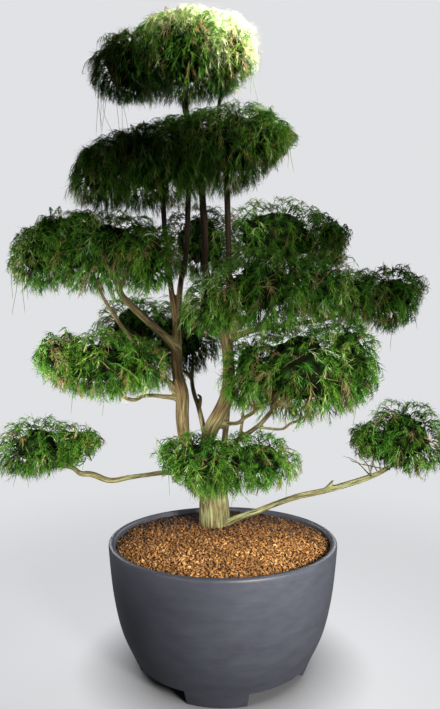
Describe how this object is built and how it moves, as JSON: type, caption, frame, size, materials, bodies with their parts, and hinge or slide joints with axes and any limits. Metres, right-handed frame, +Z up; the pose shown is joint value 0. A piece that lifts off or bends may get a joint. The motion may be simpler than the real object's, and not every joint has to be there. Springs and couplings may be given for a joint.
{
  "type": "filifera nana sawara cypress bonsai",
  "caption": "Large sawara cypress trained as a bonsai in a round footed planter, with layered pads of thread-like hanging shoots on bare branches.",
  "frame": {"origin": "on the floor, under the middle of the pot", "axes": "+Z up along the tree, -Y is the front that the picture shows, +X is to the right seen from the front"},
  "size_m": [2.4401, 1.4802, 3.6342],
  "materials": {
    "pot": "satin",
    "soil": "matte",
    "mulch": "matte",
    "wood": "matte",
    "foliage": "matte"
  },
  "bodies": {
    "root": {"pot": "pot", "potting_soil": "soil", "bark_mulch": "mulch", "trunk_and_branches": "wood", "foliage_crown": "foliage", "foliage_second_tier": "foliage", "foliage_upper_left": "foliage", "foliage_lower_left": "foliage", "foliage_rear_left": "foliage", "foliage_rear_upper": "foliage", "foliage_upper_right": "foliage", "foliage_far_upper_right": "foliage", "foliage_mid_right": "foliage", "foliage_front_low": "foliage", "foliage_far_left": "foliage", "foliage_far_right": "foliage"}
  },
  "joints": []
}
